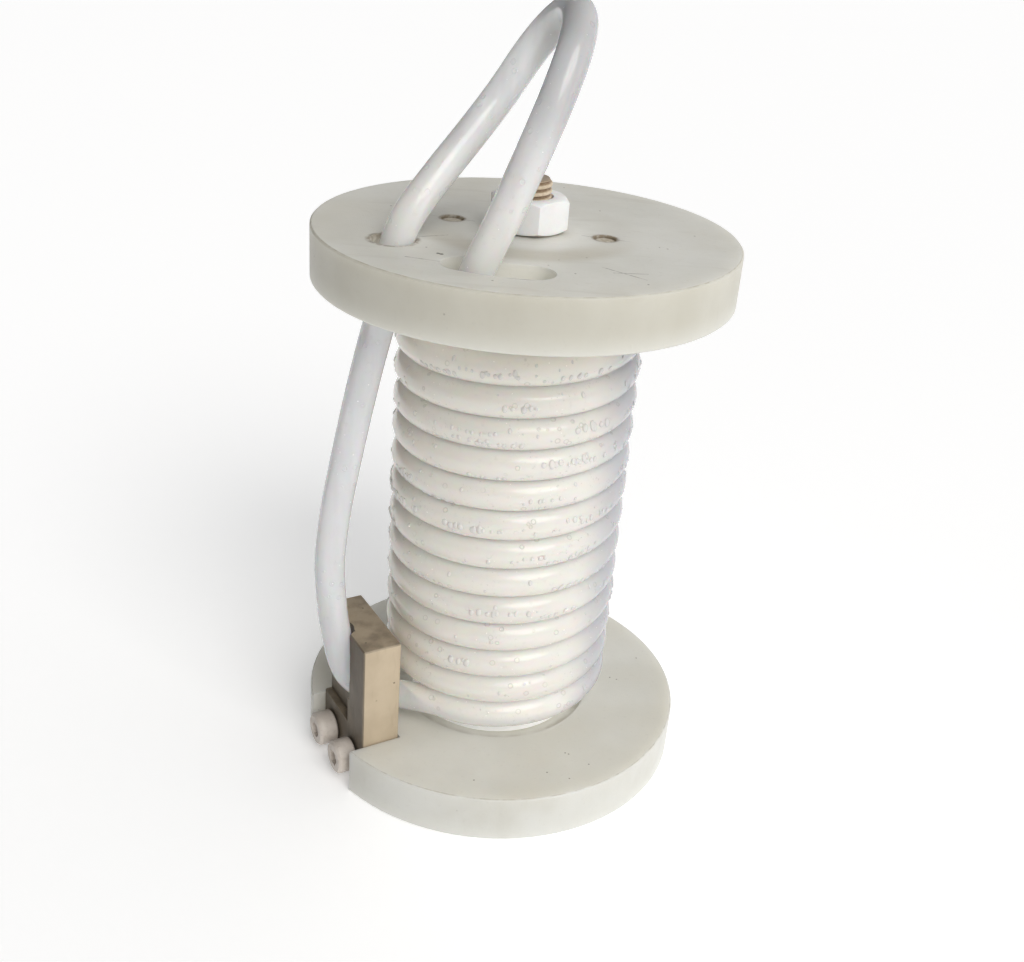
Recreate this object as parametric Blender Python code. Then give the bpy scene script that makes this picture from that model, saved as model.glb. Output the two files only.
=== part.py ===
"""Carbon dioxide diffuser: a long silicone tube wound on a core between two round flanges.

Metres, +Z up.  The origin is the centre of the bottom flange's underside.
Gas inside the tube seeps out through the tube's wall along the wound length.
"""

import math

import bmesh
import bpy
from mathutils import Matrix, Vector

# Fits
CLEARANCE = 0.0003

# Flanges
FLANGE_DIAMETER = 0.080
FLANGE_THICKNESS = 0.010
FLANGE_GAP = 0.092
FLANGE_EDGE = 0.0003
SEAT_MARGIN = 0.003
SEAT_DEPTH = 0.0012

# Core, and the tube that is wound on it
CORE_DIAMETER = 0.0354
CORE_BORE = 0.023
TUBE_DIAMETER = 0.006
TUBE_BORE = 0.004
COIL_ANGLE = -118.0
COIL_LOW = 0.0062
COIL_HIGH = 0.0039
COIL_LEAVES = 32.0
COIL_STEPS = 22

# Threaded stud and its nuts
STUD_DIAMETER = 0.008
THREAD_PITCH = 0.00125
THREAD_DEPTH = 0.0006
STUD_ABOVE_NUT = 0.0034
NUT_ACROSS_FLATS = 0.013
NUT_HEIGHT = 0.006
THIN_NUT_HEIGHT = 0.004
NUT_TURN = -15.0
NUT_POCKET = 0.018
NUT_POCKET_DEPTH = 0.0048

# Pins between each flange and the core's wall
PIN_DIAMETER = 0.004
PIN_ANGLES = (-11.0, 168.0)
PIN_IN_CORE = 0.006
PIN_BELOW_FACE = 0.0004

# Openings in the top flange
HOLE_SPARE = 0.0022
HOLE_FROM_COIL = 0.0064
SLOT_SPARE = 0.002
SLOT_ANGLES = (-112.0, -87.0)
SLOT_FROM_COIL = 0.0065

# Block that takes both ends of the tube
BLOCK_ANGLE = -148.5
BLOCK_THICKNESS = 0.008
BLOCK_WIDTH = 0.020
BLOCK_ABOVE_FLANGE = 0.023
BLOCK_BELOW = 0.0002
BLOCK_FROM_COIL = 0.0037
BLOCK_EDGE = 0.00025
CHEEK_WIDTH = 0.0078
RECESS_DEPTH = 0.0015
LEDGE_HEIGHT = 0.001
GROOVE_DEPTH = 0.0019

# Joiner inside the two tube ends
JOINER_LENGTH = 0.005
JOINER_BORE = 0.002

# Cap screws through the block's foot
SCREW_DIAMETER = 0.004
SCREW_HEAD_DIAMETER = 0.007
SCREW_HEAD_HEIGHT = 0.004
SCREW_IN_FLANGE = 0.009
SCREW_SPACING = 0.010
SCREW_BELOW_FACE = 0.005
SOCKET_ACROSS_FLATS = 0.003
SOCKET_DEPTH = 0.002

# Places that follow from the sizes above
LOW_FACE = FLANGE_THICKNESS
HIGH_FACE = LOW_FACE + FLANGE_GAP
TOP_FACE = HIGH_FACE + FLANGE_THICKNESS
TUBE_RADIUS = TUBE_DIAMETER / 2
COIL_RADIUS = CORE_DIAMETER / 2 + CLEARANCE + TUBE_RADIUS
COIL_RISE = FLANGE_GAP - COIL_LOW - COIL_HIGH
COIL_TURNS = math.floor(COIL_RISE / (TUBE_DIAMETER + CLEARANCE) + 1e-6)
COIL_PITCH = COIL_RISE / COIL_TURNS
SEAT_RADIUS = CORE_DIAMETER / 2 + SEAT_MARGIN
PIN_RADIUS = (CORE_DIAMETER + CORE_BORE) / 4
HOLE_DIAMETER = TUBE_DIAMETER + HOLE_SPARE
HOLE_RADIUS = COIL_RADIUS + HOLE_FROM_COIL
SLOT_WIDTH = TUBE_DIAMETER + SLOT_SPARE
SLOT_RADIUS = COIL_RADIUS + SLOT_FROM_COIL
BLOCK_INNER = COIL_RADIUS + TUBE_RADIUS + BLOCK_FROM_COIL
BLOCK_OUTER = BLOCK_INNER + BLOCK_THICKNESS


# Helpers

def clear_scene():
    for item in list(bpy.data.objects):
        bpy.data.objects.remove(item, do_unlink=True)


def material(name, colour, roughness, metallic=0.0):
    made = bpy.data.materials.new(name)
    made.use_nodes = True
    shader = made.node_tree.nodes["Principled BSDF"]
    shader.inputs["Base Color"].default_value = (*colour, 1.0)
    shader.inputs["Roughness"].default_value = roughness
    shader.inputs["Metallic"].default_value = metallic
    made.diffuse_color = (*colour, 1.0)
    return made


def place(name, mesh, look=None, location=(0, 0, 0), turn=0.0):
    """Adds a mesh as an object, turned about Z by so many degrees."""
    item = bpy.data.objects.new(name, mesh)
    item.location = location
    item.rotation_euler = (0, 0, math.radians(turn))
    bpy.context.collection.objects.link(item)
    if look:
        mesh.materials.append(look)
    return item


def mesh_from(bm, name, sharp=35.0):
    bmesh.ops.remove_doubles(bm, verts=bm.verts, dist=1e-6)
    bmesh.ops.recalc_face_normals(bm, faces=bm.faces)
    mesh = bpy.data.meshes.new(name)
    bm.to_mesh(mesh)
    bm.free()
    mesh.shade_smooth()
    mesh.set_sharp_from_angle(angle=math.radians(sharp))
    return mesh


def turned(name, profile, steps=96, closed=False):
    """A solid of revolution about Z from (radius, height) pairs."""
    bm = bmesh.new()
    points = [bm.verts.new((radius, 0, height)) for radius, height in profile]
    pairs = list(zip(points, points[1:]))
    if closed:
        pairs.append((points[-1], points[0]))
    edges = [bm.edges.new(pair) for pair in pairs]
    bmesh.ops.spin(bm, geom=points + edges, axis=(0, 0, 1), cent=(0, 0, 0),
                   steps=steps, angle=math.tau, use_merge=True, use_duplicate=False)
    return mesh_from(bm, name)


def rod(name, radius, low, high, edge=0.0, steps=28):
    """A round bar along Z with broken edges."""
    profile = [(0, low), (radius - edge, low), (radius, low + edge)]
    profile += [(radius, high - edge), (radius - edge, high), (0, high)]
    if not edge:
        profile = [(0, low), (radius, low), (radius, high), (0, high)]
    return turned(name, profile, steps)


def prism(name, outline, low, high):
    """An upright solid from a flat outline of (x, y) points."""
    bm = bmesh.new()
    face = bm.faces.new([bm.verts.new((x, y, low)) for x, y in outline])
    grown = bmesh.ops.extrude_face_region(bm, geom=[face])
    top = [part for part in grown["geom"] if isinstance(part, bmesh.types.BMVert)]
    bmesh.ops.translate(bm, verts=top, vec=(0, 0, high - low))
    return mesh_from(bm, name)


def hexagon(across_flats):
    corner = across_flats / math.sqrt(3)
    angles = [math.radians(60 * step) for step in range(6)]
    return [(corner * math.cos(angle), corner * math.sin(angle)) for angle in angles]


def rectangle(x_low, x_high, y_low, y_high):
    return [(x_low, y_low), (x_high, y_low), (x_high, y_high), (x_low, y_high)]


def as_cutter(item):
    item.hide_render = True
    item.display_type = "WIRE"
    return item


def combine(target, other, operation="DIFFERENCE"):
    step = target.modifiers.new(other.name, "BOOLEAN")
    step.operation = operation
    step.object = as_cutter(other)
    step.solver = "EXACT"


def upright(angle, radius, height):
    turn = math.radians(angle)
    return Vector((radius * math.cos(turn), radius * math.sin(turn), height))


def in_block(outward, sideways, height):
    """A point from the block's own axes: outward from the core, and towards its cheek."""
    turn = math.radians(BLOCK_ANGLE)
    across = Vector((-math.sin(turn), math.cos(turn), 0)) * sideways
    return upright(BLOCK_ANGLE, outward, height) + across


def smoothed(points, spacing):
    """Evenly spaced points on a smooth curve through the given ones, ends included."""
    padded = [points[0] * 2 - points[1], *points, points[-1] * 2 - points[-2]]
    fine = []
    for before, start, end, after in zip(padded, padded[1:], padded[2:], padded[3:]):
        for step in range(16):
            t = step / 16
            fine.append(0.5 * (2 * start + (end - before) * t
                               + (2 * before - 5 * start + 4 * end - after) * t ** 2
                               + (3 * start - before - 3 * end + after) * t ** 3))
    fine.append(points[-1])
    lengths = [0.0]
    for start, end in zip(fine, fine[1:]):
        lengths.append(lengths[-1] + (end - start).length)
    count = max(2, round(lengths[-1] / spacing))
    even = []
    index = 0
    for step in range(count + 1):
        wanted = lengths[-1] * step / count
        while index < len(fine) - 2 and lengths[index + 1] < wanted:
            index += 1
        share = (wanted - lengths[index]) / max(lengths[index + 1] - lengths[index], 1e-9)
        even.append(fine[index].lerp(fine[index + 1], share))
    return even


def tube(name, points, radius, resolution=2):
    """A round solid along a line of points."""
    curve = bpy.data.curves.new(name, "CURVE")
    curve.dimensions = "3D"
    curve.bevel_depth = radius
    curve.bevel_resolution = resolution
    curve.use_fill_caps = True
    line = curve.splines.new("POLY")
    line.points.add(len(points) - 1)
    for knot, point in zip(line.points, points):
        knot.co = (*point, 1.0)
    shape = bpy.data.objects.new(name + "_line", curve)
    bpy.context.collection.objects.link(shape)
    bpy.context.view_layer.update()
    raw = bpy.data.meshes.new_from_object(shape.evaluated_get(bpy.context.evaluated_depsgraph_get()))
    bm = bmesh.new()
    bm.from_mesh(raw)
    bpy.data.objects.remove(shape, do_unlink=True)
    return mesh_from(bm, name, 50.0)


def along(mesh, start, direction):
    """Moves a mesh made along Z so that it runs from start in a direction."""
    turn = direction.to_track_quat("Z", "Y").to_matrix().to_4x4()
    mesh.transform(Matrix.Translation(start) @ turn)
    return mesh


# Route of the tube

def joiner_ends():
    """The straight stretch of the tube inside the block."""
    upper = in_block(BLOCK_OUTER - 0.0015, 0.0001, LOW_FACE + 0.0109)
    lower = in_block(BLOCK_OUTER - 0.0051, 0.0005, LOW_FACE + 0.0063)
    return upper, lower


def lead_in():
    """From the block's straight stretch to the first turn."""
    low = LOW_FACE + TUBE_RADIUS
    return [
        in_block(BLOCK_INNER + 0.0001, 0.0013, low + 0.0025),
        in_block(BLOCK_INNER - 0.0025, 0.0027, low + 0.0023),
        in_block(BLOCK_INNER - 0.0048, 0.0049, low + 0.0025),
        in_block(BLOCK_INNER - 0.0071, 0.0076, low + 0.0029),
    ]


def helix_point(turned_by):
    angle = COIL_ANGLE + turned_by
    return upright(angle, COIL_RADIUS, LOW_FACE + COIL_LOW + COIL_PITCH * turned_by / 360)


def helix():
    total = 360 * COIL_TURNS - COIL_LEAVES
    count = round(total / 360 * COIL_STEPS)
    return [helix_point(total * step / count) for step in range(count + 1)]


def lead_out():
    """From the last turn outward and up through the top flange's slot."""
    return [
        upright(-140.0, COIL_RADIUS + 0.0008, HIGH_FACE - 0.0042),
        upright(-132.0, COIL_RADIUS + 0.0023, HIGH_FACE - 0.0039),
        upright(-125.0, COIL_RADIUS + 0.0040, HIGH_FACE - 0.0030),
        upright(-119.5, COIL_RADIUS + 0.0053, HIGH_FACE - 0.0012),
        upright(-115.0, COIL_RADIUS + 0.0060, HIGH_FACE + 0.0013),
        upright(-111.5, COIL_RADIUS + 0.0063, HIGH_FACE + 0.0043),
    ]


def arch():
    """From the slot, up over the flange and down to the round hole."""
    top = TOP_FACE
    slot = upright(-108.0, SLOT_RADIUS, top)
    hole = upright(BLOCK_ANGLE, HOLE_RADIUS, top)
    return [
        slot + Vector((-0.0001, 0.0002, -0.0028)),
        slot + Vector((0.0009, -0.0001, 0.0)),
        slot + Vector((0.0030, -0.0008, 0.0050)),
        slot + Vector((0.0050, -0.0012, 0.0099)),
        Vector((-0.0015, -0.0274, top + 0.0154)),
        Vector((0.0009, -0.0268, top + 0.0219)),
        Vector((0.0032, -0.0250, top + 0.0283)),
        Vector((0.0051, -0.0216, top + 0.0344)),
        Vector((0.0057, -0.0164, top + 0.0382)),
        Vector((0.0047, -0.0095, top + 0.0391)),
        Vector((0.0023, -0.0041, top + 0.0370)),
        Vector((-0.0015, -0.0010, top + 0.0319)),
        Vector((-0.0064, -0.0013, top + 0.0240)),
        Vector((-0.0110, -0.0046, top + 0.0176)),
        Vector((-0.0162, -0.0093, top + 0.0109)),
        hole + Vector((0.0030, 0.0015, 0.0050)),
    ]


def down_run():
    """From the round hole down beside the coil into the block."""
    hole = HOLE_RADIUS
    face = BLOCK_OUTER
    base = LOW_FACE
    span = FLANGE_GAP
    return [
        in_block(hole - 0.0008, 0.0002, TOP_FACE),
        in_block(hole + 0.0001, 0.0, (HIGH_FACE + TOP_FACE) / 2),
        in_block(hole + 0.0007, 0.0, HIGH_FACE),
        in_block(hole + 0.0017, 0.0, base + 0.963 * span),
        in_block(face - 0.0054, 0.0, base + 0.918 * span),
        in_block(face - 0.0037, 0.0, base + 0.846 * span),
        in_block(face - 0.0016, 0.0, base + 0.746 * span),
        in_block(face + 0.0004, 0.0, base + 0.641 * span),
        in_block(face + 0.0019, 0.0, base + 0.554 * span),
        in_block(face + 0.0028, 0.0, base + 0.479 * span),
        in_block(face + 0.0032, 0.0, base + 0.415 * span),
        in_block(face + 0.0029, 0.0, base + 0.348 * span),
        in_block(face + 0.0024, 0.0, base + 0.288 * span),
        in_block(face + 0.0017, 0.0, base + 0.0222),
        in_block(face + 0.0010, 0.0, base + 0.0178),
        in_block(face - 0.0001, 0.0, base + 0.0139),
    ]


def split(points, index):
    """Both halves of a line, cut square in the middle of one of its straight stretches."""
    start, end = points[index], points[index + 1]
    middle = (start + end) / 2
    half_gap = (end - start).normalized() * CLEARANCE / 2
    return points[:index + 1] + [middle - half_gap], [middle + half_gap] + points[index + 1:]


def routes():
    """The wound half and the looped half of the one long tube."""
    upper, lower = joiner_ends()
    middle = (upper + lower) / 2
    half_gap = (lower - upper).normalized() * CLEARANCE / 2
    turns = helix()
    entry = smoothed([upper, lower, *lead_in(), turns[0], turns[1]], 0.0024)
    entry = [point for point in entry if (point - upper).length > (lower - upper).length]
    entry = [point for point in entry if (point - turns[1]).length > (turns[1] - turns[0]).length * 1.2]
    rest = [*lead_out(), *arch(), *down_run(), upper, lower]
    climb = smoothed([turns[-2], turns[-1], *rest], 0.0028)
    reach = (turns[-1] - turns[-2]).length * 1.25
    climb = [point for point in climb if (point - turns[-2]).length > reach]
    climb = [point for point in climb if (point - lower).length > (lower - upper).length * 1.25]
    inside = [index for index, point in enumerate(climb[:-1])
              if point.z > HIGH_FACE + FLANGE_THICKNESS * 0.3]
    wound_end, loop_start = split(climb, inside[0])
    wound = [middle + half_gap, lower, *entry, *turns, *wound_end]
    looped = [*loop_start, upper, middle - half_gap]
    return wound, looped


# Parts

def make_flanges(look):
    radius = FLANGE_DIAMETER / 2
    edge = FLANGE_EDGE
    bore = STUD_DIAMETER / 2 + CLEARANCE
    high_seat = HIGH_FACE + SEAT_DEPTH
    low_seat = LOW_FACE - SEAT_DEPTH
    top = place("top_flange", turned("top_flange", [
        (bore, TOP_FACE), (radius - edge, TOP_FACE), (radius, TOP_FACE - edge),
        (radius, HIGH_FACE + edge), (radius - edge, HIGH_FACE), (SEAT_RADIUS, HIGH_FACE),
        (SEAT_RADIUS, high_seat), (bore, high_seat)], 96, True), look)
    pocket = NUT_POCKET / 2
    bottom = place("bottom_flange", turned("bottom_flange", [
        (bore, low_seat), (SEAT_RADIUS, low_seat), (SEAT_RADIUS, LOW_FACE),
        (radius - edge, LOW_FACE), (radius, LOW_FACE - edge), (radius, edge),
        (radius - edge, 0), (pocket, 0), (pocket, NUT_POCKET_DEPTH),
        (bore, NUT_POCKET_DEPTH)], 96, True), look)
    return top, bottom


def make_core(look):
    low = LOW_FACE - SEAT_DEPTH + CLEARANCE
    high = HIGH_FACE + SEAT_DEPTH - CLEARANCE
    outer = CORE_DIAMETER / 2
    inner = CORE_BORE / 2
    return place("winding_core", turned("winding_core", [
        (inner, low), (outer, low), (outer, high), (inner, high)], 48, True), look)


def thread_radius(angle, height):
    """The stud's radius on a rising V thread."""
    phase = (height / THREAD_PITCH - angle / math.tau) % 1.0
    groove = abs(phase - 0.5) * 2
    return STUD_DIAMETER / 2 - THREAD_DEPTH * max(0.0, min(1.0, groove * 1.5 - 0.25))


def make_stud(look):
    """A plain bar whose top end shows its thread."""
    low = NUT_POCKET_DEPTH - CLEARANCE - THIN_NUT_HEIGHT
    high = TOP_FACE + CLEARANCE + NUT_HEIGHT + STUD_ABOVE_NUT
    start = high - STUD_ABOVE_NUT - THREAD_PITCH
    rows = round((high - start - THREAD_DEPTH) / (THREAD_PITCH / 4))
    steps = 20
    core = STUD_DIAMETER / 2 - THREAD_DEPTH
    bm = bmesh.new()
    rings = []
    for height in (low, low + THREAD_DEPTH, start):
        radius = core if height == low else STUD_DIAMETER / 2
        rings.append([(radius, height)] * steps)
    for row in range(1, rows + 1):
        height = start + (high - THREAD_DEPTH - start) * row / rows
        rings.append([(thread_radius(math.tau * step / steps, height), height)
                      for step in range(steps)])
    rings.append([(core - 0.0004, high)] * steps)
    made = []
    for ring in rings:
        made.append([bm.verts.new((radius * math.cos(math.tau * step / steps),
                                   radius * math.sin(math.tau * step / steps), height))
                     for step, (radius, height) in enumerate(ring)])
    for lower, upper in zip(made, made[1:]):
        for step in range(steps):
            after = (step + 1) % steps
            bm.faces.new((lower[step], lower[after], upper[after], upper[step]))
    bm.faces.new(made[-1])
    bm.faces.new(reversed(made[0]))
    return place("centre_stud", mesh_from(bm, "centre_stud", 60.0), look)


def make_nut(name, height, look, location):
    """A hexagon nut with both rims chamfered."""
    nut = place(name, prism(name, hexagon(NUT_ACROSS_FLATS), 0, height), look, location, NUT_TURN)
    flat = NUT_ACROSS_FLATS / 2
    corner = NUT_ACROSS_FLATS / math.sqrt(3) + 0.0002
    slope = (corner - flat) * 0.55
    rim = place(name + "_rim", turned(name + "_rim", [
        (0, 0), (flat, 0), (corner, slope), (corner, height - slope), (flat, height),
        (0, height)], 36), None, location)
    combine(nut, rim, "INTERSECT")
    bore = STUD_DIAMETER / 2 + CLEARANCE
    hole = place(name + "_bore", rod(name + "_bore", bore, -0.001, height + 0.001), None, location)
    combine(nut, hole)
    return nut


def make_pins(top, bottom, core, look):
    radius = PIN_DIAMETER / 2
    fit = radius + CLEARANCE
    core_high = HIGH_FACE + SEAT_DEPTH - CLEARANCE
    core_low = LOW_FACE - SEAT_DEPTH + CLEARANCE
    for side, angle in zip(("right", "left"), PIN_ANGLES):
        spot = upright(angle, PIN_RADIUS, 0)
        high = TOP_FACE - PIN_BELOW_FACE
        low = core_high - PIN_IN_CORE
        name = "top_pin_" + side
        place(name, rod(name, radius, low, high, 0.0002, 20), look, spot)
        hole = place(name + "_hole", rod(name + "_hole", fit, low - CLEARANCE, TOP_FACE + 0.001,
                                         0, 24), None, spot)
        combine(top, hole)
        combine(core, hole)
        name = "bottom_pin_" + side
        high = core_low + PIN_IN_CORE
        place(name, rod(name, radius, PIN_BELOW_FACE, high, 0.0002, 20), look, spot)
        hole = place(name + "_hole", rod(name + "_hole", fit, -0.001, high + CLEARANCE,
                                         0, 24), None, spot)
        combine(bottom, hole)
        combine(core, hole)


def slot_outline():
    """A curved slot with round ends, about the flange's centre."""
    half = SLOT_WIDTH / 2
    first, last = SLOT_ANGLES
    steps = 12
    points = []
    for step in range(steps + 1):
        angle = first + (last - first) * step / steps
        points.append(upright(angle, SLOT_RADIUS + half, 0))
    centre = upright(last, SLOT_RADIUS, 0)
    for step in range(1, steps):
        points.append(centre + upright(last + 180 * step / steps, half, 0))
    for step in range(steps + 1):
        angle = last + (first - last) * step / steps
        points.append(upright(angle, SLOT_RADIUS - half, 0))
    centre = upright(first, SLOT_RADIUS, 0)
    for step in range(1, steps):
        points.append(centre + upright(first + 180 + 180 * step / steps, half, 0))
    return [(point.x, point.y) for point in points]


def open_top_flange(top, wound, looped):
    """The tube's round hole, its curved slot and the slot's run-out."""
    spot = upright(BLOCK_ANGLE, HOLE_RADIUS, 0)
    hole = rod("tube_hole", HOLE_DIAMETER / 2, HIGH_FACE - 0.001, TOP_FACE + 0.001, 0, 48)
    combine(top, place("tube_hole", hole, None, spot))
    slot = prism("tube_slot", slot_outline(), HIGH_FACE - 0.001, TOP_FACE + 0.001)
    combine(top, place("tube_slot", slot))
    passing = [point for point in wound[-14:] if point.z > HIGH_FACE - TUBE_DIAMETER * 1.5]
    passing += [point for point in looped[:6] if point.z < TOP_FACE + 0.004]
    run_out = tube("slot_run_out", passing, TUBE_RADIUS + 0.0004, 4)
    combine(top, place("slot_run_out", run_out))


def make_block(look, wound, looped):
    """The upright block, cut back behind its front cheek and bored for the tube."""
    low = BLOCK_BELOW
    high = LOW_FACE + BLOCK_ABOVE_FLANGE
    half = BLOCK_WIDTH / 2
    outline = rectangle(BLOCK_INNER, BLOCK_OUTER, -half, half)
    block = place("tube_block", prism("tube_block", outline, low, high), look, turn=BLOCK_ANGLE)
    bevel = block.modifiers.new("broken_edges", "BEVEL")
    bevel.width = BLOCK_EDGE
    bevel.segments = 1
    bevel.limit_method = "ANGLE"
    ledge = LOW_FACE + LEDGE_HEIGHT
    recess = prism("block_recess", rectangle(BLOCK_OUTER - RECESS_DEPTH, BLOCK_OUTER + 0.005,
                                             -half - 0.005, half - CHEEK_WIDTH), ledge, high + 0.005)
    combine(block, place("block_recess", recess, None, turn=BLOCK_ANGLE))
    fit = TUBE_RADIUS + CLEARANCE
    groove = rod("block_groove", fit, ledge + TUBE_DIAMETER, high + 0.005, 0, 40)
    spot = in_block(BLOCK_OUTER - GROOVE_DEPTH + fit, 0, 0)
    combine(block, place("block_groove", groove, None, spot))
    passing = [point for point in reversed(wound[:12])
               if (point - wound[0]).length < BLOCK_THICKNESS * 1.6]
    passing += [point for point in reversed(looped) if point.z < high + 0.004]
    cut = tube("block_passage", passing, fit, 4)
    combine(block, place("block_passage", cut))
    return block


def cut_notch(bottom):
    """The rectangular notch in the bottom flange that the block stands in."""
    half = BLOCK_WIDTH / 2 + CLEARANCE
    outline = rectangle(BLOCK_INNER - CLEARANCE, FLANGE_DIAMETER / 2 + 0.005, -half, half)
    notch = prism("block_notch", outline, -0.001, LOW_FACE + 0.001)
    combine(bottom, place("block_notch", notch, None, turn=BLOCK_ANGLE))


def make_screws(bottom, block, look):
    """Two socket cap screws that hold the block's foot to the flange."""
    shank = SCREW_DIAMETER / 2
    head = SCREW_HEAD_DIAMETER / 2
    tip = -(CLEARANCE + BLOCK_THICKNESS + CLEARANCE + SCREW_IN_FLANGE)
    outward = upright(BLOCK_ANGLE, 1, 0)
    for side, share in (("front", 0.5), ("back", -0.5)):
        name = "block_screw_" + side
        under_head = in_block(BLOCK_OUTER + CLEARANCE, SCREW_SPACING * share,
                              LOW_FACE - SCREW_BELOW_FACE)
        profile = [(0, tip), (shank - 0.0004, tip), (shank, tip + 0.0004), (shank, 0),
                   (head - 0.0003, 0), (head, 0.0003), (head, SCREW_HEAD_HEIGHT - 0.0005),
                   (head - 0.0005, SCREW_HEAD_HEIGHT), (0, SCREW_HEAD_HEIGHT)]
        screw = place(name, turned(name, profile, 28), look, under_head)
        screw.rotation_mode = "QUATERNION"
        screw.rotation_quaternion = outward.to_track_quat("Z", "Y")
        socket = prism(name + "_socket", hexagon(SOCKET_ACROSS_FLATS),
                       SCREW_HEAD_HEIGHT - SOCKET_DEPTH, SCREW_HEAD_HEIGHT + 0.001)
        socket = place(name + "_socket", along(socket, under_head, outward))
        combine(screw, socket)
        fit = rod(name + "_hole", shank + CLEARANCE, tip - CLEARANCE, 0.002, 0, 20)
        hole = place(name + "_hole", along(fit, under_head, outward))
        combine(bottom, hole)
        combine(block, hole)


def make_tubes(look, wound, looped):
    coil = place("coil_tube", tube("coil_tube", wound, TUBE_RADIUS), look)
    loop = place("loop_tube", tube("loop_tube", looped, TUBE_RADIUS), look)
    upper, lower = joiner_ends()
    middle = (upper + lower) / 2
    axis = (lower - upper).normalized()
    length = JOINER_LENGTH + 2 * CLEARANCE
    bore = rod("tube_end_bore", TUBE_BORE / 2, -length / 2, length / 2, 0, 24)
    bore = place("tube_end_bore", along(bore, middle, axis))
    combine(coil, bore)
    combine(loop, bore)
    return coil, loop


def make_joiner(look):
    """A short hollow sleeve that joins the two tube ends."""
    upper, lower = joiner_ends()
    outer = TUBE_BORE / 2 - CLEARANCE
    inner = JOINER_BORE / 2
    half = JOINER_LENGTH / 2
    profile = [(inner, -half), (outer - 0.0002, -half), (outer, -half + 0.0003),
               (outer, half - 0.0003), (outer - 0.0002, half), (inner, half)]
    sleeve = turned("tube_joiner", profile, 24, True)
    return place("tube_joiner", along(sleeve, (upper + lower) / 2, (lower - upper).normalized()), look)


def build():
    clear_scene()
    plastic = material("milky_plastic", (0.76, 0.75, 0.69), 0.42)
    white = material("white_plastic", (0.86, 0.85, 0.82), 0.45)
    nylon = material("white_nylon", (0.88, 0.88, 0.87), 0.50)
    tan = material("tan_plastic", (0.60, 0.50, 0.37), 0.50)
    grey = material("grey_plastic", (0.55, 0.50, 0.46), 0.55)
    silicone = material("clear_silicone", (0.78, 0.78, 0.77), 0.22)
    wound, looped = routes()
    top, bottom = make_flanges(plastic)
    core = make_core(white)
    make_stud(tan)
    make_nut("top_nut", NUT_HEIGHT, nylon, (0, 0, TOP_FACE + CLEARANCE))
    low_nut = NUT_POCKET_DEPTH - CLEARANCE - THIN_NUT_HEIGHT
    make_nut("bottom_nut", THIN_NUT_HEIGHT, nylon, (0, 0, low_nut))
    make_pins(top, bottom, core, tan)
    open_top_flange(top, wound, looped)
    cut_notch(bottom)
    block = make_block(tan, wound, looped)
    make_screws(bottom, block, grey)
    make_tubes(silicone, wound, looped)
    make_joiner(white)


build()
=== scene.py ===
"""Carbon dioxide diffuser: the fine tube, its water drops, finishes, floor, light and camera."""
import functools
import math
import random

import bmesh
import bpy
from mathutils import Matrix, Vector


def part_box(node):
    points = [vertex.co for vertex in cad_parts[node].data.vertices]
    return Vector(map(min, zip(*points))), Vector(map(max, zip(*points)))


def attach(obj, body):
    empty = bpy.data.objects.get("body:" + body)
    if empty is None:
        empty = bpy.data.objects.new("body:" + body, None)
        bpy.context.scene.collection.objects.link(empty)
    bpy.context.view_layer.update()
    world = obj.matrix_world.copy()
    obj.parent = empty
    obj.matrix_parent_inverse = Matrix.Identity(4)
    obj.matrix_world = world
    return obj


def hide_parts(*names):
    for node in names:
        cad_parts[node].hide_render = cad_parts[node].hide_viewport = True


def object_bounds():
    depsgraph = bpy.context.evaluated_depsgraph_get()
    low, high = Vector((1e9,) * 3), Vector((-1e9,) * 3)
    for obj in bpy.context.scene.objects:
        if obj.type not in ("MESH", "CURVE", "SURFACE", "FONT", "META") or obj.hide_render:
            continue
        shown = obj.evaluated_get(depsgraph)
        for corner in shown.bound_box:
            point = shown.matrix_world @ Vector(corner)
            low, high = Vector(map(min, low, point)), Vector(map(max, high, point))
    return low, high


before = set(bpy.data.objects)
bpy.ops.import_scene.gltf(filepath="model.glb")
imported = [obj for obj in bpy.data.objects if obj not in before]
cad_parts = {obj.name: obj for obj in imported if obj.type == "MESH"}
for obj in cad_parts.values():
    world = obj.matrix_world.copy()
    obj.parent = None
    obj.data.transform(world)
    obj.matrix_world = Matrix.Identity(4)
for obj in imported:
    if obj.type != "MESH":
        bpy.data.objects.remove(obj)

CAD_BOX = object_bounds()
MM = 0.001

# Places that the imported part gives
TOP_LOW, TOP_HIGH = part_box("top_flange")
BASE_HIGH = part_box("bottom_flange")[1]
CORE_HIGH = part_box("winding_core")[1]
NUT_LOW, NUT_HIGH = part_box("top_nut")
STUD_LOW, STUD_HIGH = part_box("centre_stud")
FLANGE_RADIUS = TOP_HIGH.x
CORE_RADIUS = CORE_HIGH.x
LOW_FACE = BASE_HIGH.z
HIGH_FACE = TOP_LOW.z
TOP_FACE = TOP_HIGH.z
FLANGE_GAP = HIGH_FACE - LOW_FACE
STUD_RADIUS = STUD_HIGH.x

# Tube, and how it is wound, as the part has it
CLEARANCE = 0.0003
TUBE_DIAMETER = 0.006
TUBE_RADIUS = TUBE_DIAMETER / 2
COIL_RADIUS = CORE_RADIUS + CLEARANCE + TUBE_RADIUS
COIL_ANGLE = -118.0
COIL_LOW = 0.0062
COIL_HIGH = 0.0039
COIL_LEAVES = 32.0
COIL_STEPS = 22
COIL_RISE = FLANGE_GAP - COIL_LOW - COIL_HIGH
COIL_TURNS = math.floor(COIL_RISE / (TUBE_DIAMETER + CLEARANCE) + 1e-3)
COIL_PITCH = COIL_RISE / COIL_TURNS
COIL_SWEEP = 360 * COIL_TURNS - COIL_LEAVES
FINE_STEPS = 72
SKIN_SPARE = 0.00006
TUBE_SIDES = 32

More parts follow.
